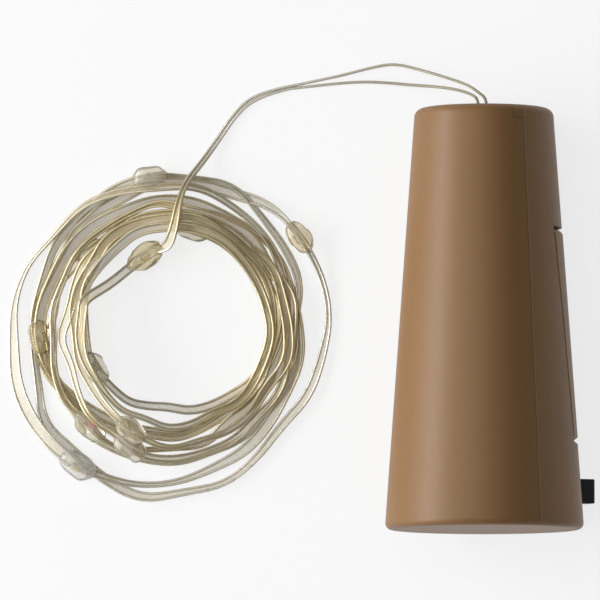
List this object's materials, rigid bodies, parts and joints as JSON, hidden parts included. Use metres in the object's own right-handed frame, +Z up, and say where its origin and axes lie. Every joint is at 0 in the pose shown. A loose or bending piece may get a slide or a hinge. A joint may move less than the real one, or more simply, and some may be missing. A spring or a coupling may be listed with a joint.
{
  "type": "cork bottle light",
  "caption": "Cork-shaped plastic bottle stopper lying on its side, with battery bay, slide switch and a thin wire string of LED drops coiled flat beside it.",
  "frame": {"origin": "on the table, under the middle of the lying cork's box; the light string is left out", "axes": "+Y along the lying cork from its wide end to its small end, +Z up from the table, +X away from the coiled string"},
  "size_m": [0.066, 0.0524, 0.0218],
  "materials": {
    "cork_plastic": "satin moulded brown plastic",
    "black_plastic": "satin black plastic",
    "contact_brass": "stamped brass",
    "contact_steel": "plated steel",
    "board_plastic": "pressed phenolic board",
    "resistor_body": "lacquered",
    "wire_sleeve": "soft wire insulation",
    "string_film": "enamelled champagne wire",
    "cell_seal": "moulded seal",
    "cell_steel": "bright nickel plate",
    "clear_resin": "clear cured resin",
    "led_chip": "yellow phosphor chip",
    "glue": "set hot glue"
  },
  "bodies": {
    "housing": {"plain_shell": "cork_plastic", "battery_shell": "cork_plastic", "cell_can_1": "cell_steel", "cell_seal_1": "cell_seal", "cell_cap_1": "cell_steel", "cell_can_2": "cell_steel", "cell_seal_2": "cell_seal", "cell_cap_2": "cell_steel", "cell_can_3": "cell_steel", "cell_seal_3": "cell_seal", "cell_cap_3": "cell_steel", "negative_plate": "contact_steel", "positive_plate": "contact_steel", "negative_spring": "contact_steel", "switch_frame": "contact_steel", "switch_base": "board_plastic", "switch_terminals": "contact_brass", "resistor": "resistor_body", "resistor_leads": "contact_steel", "feed_wire": "wire_sleeve", "feed_tail": "string_film", "positive_tail": "string_film", "splice_sleeve": "black_plastic", "glue_plug": "glue", "lead_wire_upper": "string_film", "lead_wire_lower": "string_film", "lead_pair": "string_film", "string_coil": "string_film", "led_drop_01": "clear_resin", "led_drop_02": "clear_resin", "led_drop_03": "clear_resin", "led_drop_04": "clear_resin", "led_drop_05": "clear_resin", "led_drop_06": "clear_resin", "led_drop_07": "clear_resin", "led_drop_08": "clear_resin", "led_drop_09": "clear_resin", "led_drop_10": "clear_resin", "led_drop_11": "clear_resin", "led_chip_01": "led_chip", "led_chip_02": "led_chip", "led_chip_03": "led_chip", "led_chip_04": "led_chip", "led_chip_05": "led_chip", "led_chip_06": "led_chip", "led_chip_07": "led_chip", "led_chip_08": "led_chip", "led_chip_09": "led_chip", "led_chip_10": "led_chip", "led_chip_11": "led_chip"},
    "switch": {"switch_lever": "black_plastic", "switch_wiper": "contact_brass"},
    "battery_door": {"battery_cover": "cork_plastic"}
  },
  "joints": [
    {"name": "switch_slide", "type": "slide", "parent": "housing", "child": "switch", "axis": [0, 0.9974, -0.0717], "range_m": [0, 0.002]},
    {"name": "cover_lift", "type": "slide", "parent": "housing", "child": "battery_door", "axis": [0.9205, -0.028, -0.3897], "range_m": [0, 0.007]}
  ]
}
